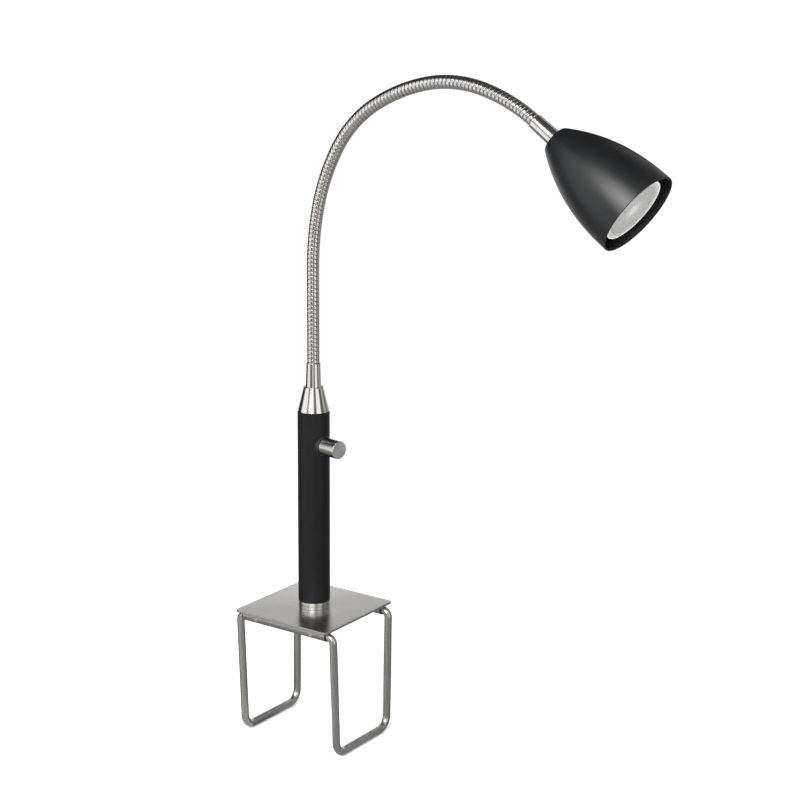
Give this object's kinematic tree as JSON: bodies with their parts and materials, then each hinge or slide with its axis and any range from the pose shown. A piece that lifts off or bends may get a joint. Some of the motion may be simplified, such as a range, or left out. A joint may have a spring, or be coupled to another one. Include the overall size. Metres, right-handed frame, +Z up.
{
  "type": "clip-on reading lamp",
  "caption": "Clip-on reading lamp: a plate with two sliding wire loops that hangs over a board, a post with a dimmer knob, a gooseneck and a bullet shade with a spot bulb.",
  "frame": {"origin": "on the post's axis, in the plane that touches the undersides of the two guide tubes, where the lamp rests on the board's top edge", "axes": "+Z up along the post, +X towards the head and along the loops' slide, +Y to the left of the head"},
  "size_m": [0.3424, 0.09, 0.5313],
  "materials": {
    "plate_steel": "satin",
    "guide_steel": "satin",
    "rod_steel": "satin",
    "turned_steel": "satin",
    "neck_steel": "satin",
    "zinc_steel": "satin",
    "post_paint": "matte",
    "shade_paint": "satin",
    "black_plastic": "matte",
    "white_plastic": "matte",
    "outlet_rubber": "matte",
    "lead_plastic": "gloss",
    "brass_parts": "satin",
    "holder_ceramic": "matte",
    "bulb_plastic": "satin",
    "bulb_lens": "satin",
    "board_aluminium": "satin"
  },
  "bodies": {
    "root": {"base_collar": "turned_steel", "base_plate": "plate_steel", "cable_grommet": "outlet_rubber", "cone_cap": "turned_steel", "dimmer_body": "black_plastic", "dimmer_bush": "zinc_steel", "front_guide_tube": "guide_steel", "guide_end_rings": "black_plastic", "guide_set_screws": "zinc_steel", "knob_seat": "black_plastic", "lower_ferrule": "turned_steel", "neck_segment_01": "neck_steel", "post_leads": "lead_plastic", "post_lock_nut": "zinc_steel", "post_tube": "post_paint", "rear_guide_tube": "guide_steel", "terminal_block": "white_plastic", "terminal_screws": "brass_parts", "threaded_nipple": "zinc_steel", "under_plate_nut": "zinc_steel", "under_plate_washer": "zinc_steel"},
    "neck_piece_02": {"neck_segment_02": "neck_steel"},
    "neck_piece_03": {"neck_segment_03": "neck_steel"},
    "neck_piece_04": {"neck_segment_04": "neck_steel"},
    "neck_piece_05": {"neck_segment_05": "neck_steel"},
    "neck_piece_06": {"neck_segment_06": "neck_steel"},
    "neck_piece_07": {"neck_segment_07": "neck_steel"},
    "neck_piece_08": {"neck_segment_08": "neck_steel"},
    "neck_piece_09": {"neck_segment_09": "neck_steel"},
    "neck_piece_10": {"neck_segment_10": "neck_steel"},
    "neck_piece_11": {"neck_segment_11": "neck_steel"},
    "neck_piece_12": {"neck_segment_12": "neck_steel"},
    "neck_piece_13": {"neck_segment_13": "neck_steel"},
    "neck_piece_14": {"neck_segment_14": "neck_steel"},
    "neck_piece_15": {"neck_segment_15": "neck_steel"},
    "neck_piece_16": {"neck_segment_16": "neck_steel"},
    "head": {"neck_segment_17": "neck_steel", "upper_ferrule": "turned_steel", "shade": "shade_paint", "shade_lock_nut": "zinc_steel", "holder_bracket": "zinc_steel", "lamp_holder": "holder_ceramic", "holder_screws": "zinc_steel", "head_leads": "lead_plastic"},
    "bulb": {"bulb_base": "white_plastic", "bulb_pins": "brass_parts", "bulb_housing": "bulb_plastic", "bulb_led_board": "board_aluminium", "bulb_lens": "bulb_lens"},
    "knob": {"knob": "turned_steel", "knob_shaft": "zinc_steel"},
    "left_loop": {"left_loop": "rod_steel"},
    "right_loop": {"right_loop": "rod_steel"}
  },
  "joints": [
    {"name": "neck_lower_bend", "type": "hinge", "parent": "root", "child": "neck_piece_02", "pos_m": [0, 0, 0.22751], "axis": [0.0018, 1, 0.0022], "range_deg": [-9, 7]},
    {"name": "neck_lower_side", "type": "hinge", "parent": "neck_piece_02", "child": "neck_piece_03", "pos_m": [0, 0, 0.24618], "axis": [1, 0.0009, 0.0022], "range_deg": [-9, 9]},
    {"name": "neck_lower_bend_2", "type": "hinge", "parent": "neck_piece_03", "child": "neck_piece_04", "pos_m": [0, 0, 0.26484], "axis": [0.0018, 1, 0.0022], "range_deg": [-9, 7]},
    {"name": "neck_lower_side_2", "type": "hinge", "parent": "neck_piece_04", "child": "neck_piece_05", "pos_m": [0, 0, 0.28351], "axis": [1, 0.0009, 0.0022], "range_deg": [-9, 9]},
    {"name": "neck_lower_bend_3", "type": "hinge", "parent": "neck_piece_05", "child": "neck_piece_06", "pos_m": [0.00135, 0, 0.30754], "axis": [0.0018, 1, 0.0022], "range_deg": [-9, 7]},
    {"name": "neck_lower_side_3", "type": "hinge", "parent": "neck_piece_06", "child": "neck_piece_07", "pos_m": [0.00539, 0, 0.33126], "axis": [0.9754, 0.0009, -0.2202], "range_deg": [-9, 9]},
    {"name": "neck_lower_bend_4", "type": "hinge", "parent": "neck_piece_07", "child": "neck_piece_08", "pos_m": [0.01256, 0, 0.35422], "axis": [0.0018, 1, 0.0022], "range_deg": [-9, 7]},
    {"name": "neck_lower_side_4", "type": "hinge", "parent": "neck_piece_08", "child": "neck_piece_09", "pos_m": [0.02323, 0, 0.37578], "axis": [0.8602, 0.0009, -0.5099], "range_deg": [-9, 9]},
    {"name": "neck_upper_bend", "type": "hinge", "parent": "neck_piece_09", "child": "neck_piece_10", "pos_m": [0.03802, 0, 0.39469], "axis": [0.0018, 1, 0.0022], "range_deg": [-10, 9]},
    {"name": "neck_upper_side", "type": "hinge", "parent": "neck_piece_10", "child": "neck_piece_11", "pos_m": [0.05706, 0, 0.40933], "axis": [0.5076, 0.0009, -0.8616], "range_deg": [-10, 10]},
    {"name": "neck_upper_bend_2", "type": "hinge", "parent": "neck_piece_11", "child": "neck_piece_12", "pos_m": [0.07875, 0, 0.41972], "axis": [0.0018, 1, 0.0022], "range_deg": [-10, 9]},
    {"name": "neck_upper_side_2", "type": "hinge", "parent": "neck_piece_12", "child": "neck_piece_13", "pos_m": [0.10186, 0, 0.42638], "axis": [0.1984, 0.0009, -0.9801], "range_deg": [-10, 10]},
    {"name": "neck_upper_bend_3", "type": "hinge", "parent": "neck_piece_13", "child": "neck_piece_14", "pos_m": [0.12581, 0, 0.42836], "axis": [0.0018, 1, 0.0022], "range_deg": [-10, 9]},
    {"name": "neck_upper_side_3", "type": "hinge", "parent": "neck_piece_14", "child": "neck_piece_15", "pos_m": [0.14956, 0, 0.42482], "axis": [-0.259, 0.0009, -0.9659], "range_deg": [-10, 10]},
    {"name": "neck_upper_bend_4", "type": "hinge", "parent": "neck_piece_15", "child": "neck_piece_16", "pos_m": [0.16479, 0, 0.41974], "axis": [0.0018, 1, 0.0022], "range_deg": [-10, 9]},
    {"name": "neck_upper_side_4", "type": "hinge", "parent": "neck_piece_16", "child": "head", "pos_m": [0.17931, 0, 0.41292], "axis": [-0.477, 0.0009, -0.8789], "range_deg": [-10, 10]},
    {"name": "bulb_twist", "type": "hinge", "parent": "head", "child": "bulb", "pos_m": [0.20952, 0, 0.39273], "axis": [0.8167, 0, -0.577], "range_deg": [0, 20]},
    {"name": "knob_turn", "type": "hinge", "parent": "root", "child": "knob", "pos_m": [0, 0, 0.1449], "axis": [0.9781, -0.2079, 0], "range_deg": [-150, 150]},
    {"name": "left_loop_slide", "type": "slide", "parent": "root", "child": "left_loop", "axis": [-1, 0, 0], "range_m": [0, 0.022]},
    {"name": "right_loop_slide", "type": "slide", "parent": "root", "child": "right_loop", "axis": [1, 0, 0], "range_m": [-0.001, 0.022]}
  ],
  "couplings": [
    {"joint": "neck_lower_bend_2", "follows": "neck_lower_bend", "ratio": 1},
    {"joint": "neck_lower_side_2", "follows": "neck_lower_side", "ratio": 1},
    {"joint": "neck_lower_bend_3", "follows": "neck_lower_bend", "ratio": 1},
    {"joint": "neck_lower_side_3", "follows": "neck_lower_side", "ratio": 1},
    {"joint": "neck_lower_bend_4", "follows": "neck_lower_bend", "ratio": 1},
    {"joint": "neck_lower_side_4", "follows": "neck_lower_side", "ratio": 1},
    {"joint": "neck_upper_bend_2", "follows": "neck_upper_bend", "ratio": 1},
    {"joint": "neck_upper_side_2", "follows": "neck_upper_side", "ratio": 1},
    {"joint": "neck_upper_bend_3", "follows": "neck_upper_bend", "ratio": 1},
    {"joint": "neck_upper_side_3", "follows": "neck_upper_side", "ratio": 1},
    {"joint": "neck_upper_bend_4", "follows": "neck_upper_bend", "ratio": 1},
    {"joint": "neck_upper_side_4", "follows": "neck_upper_side", "ratio": 1}
  ]
}
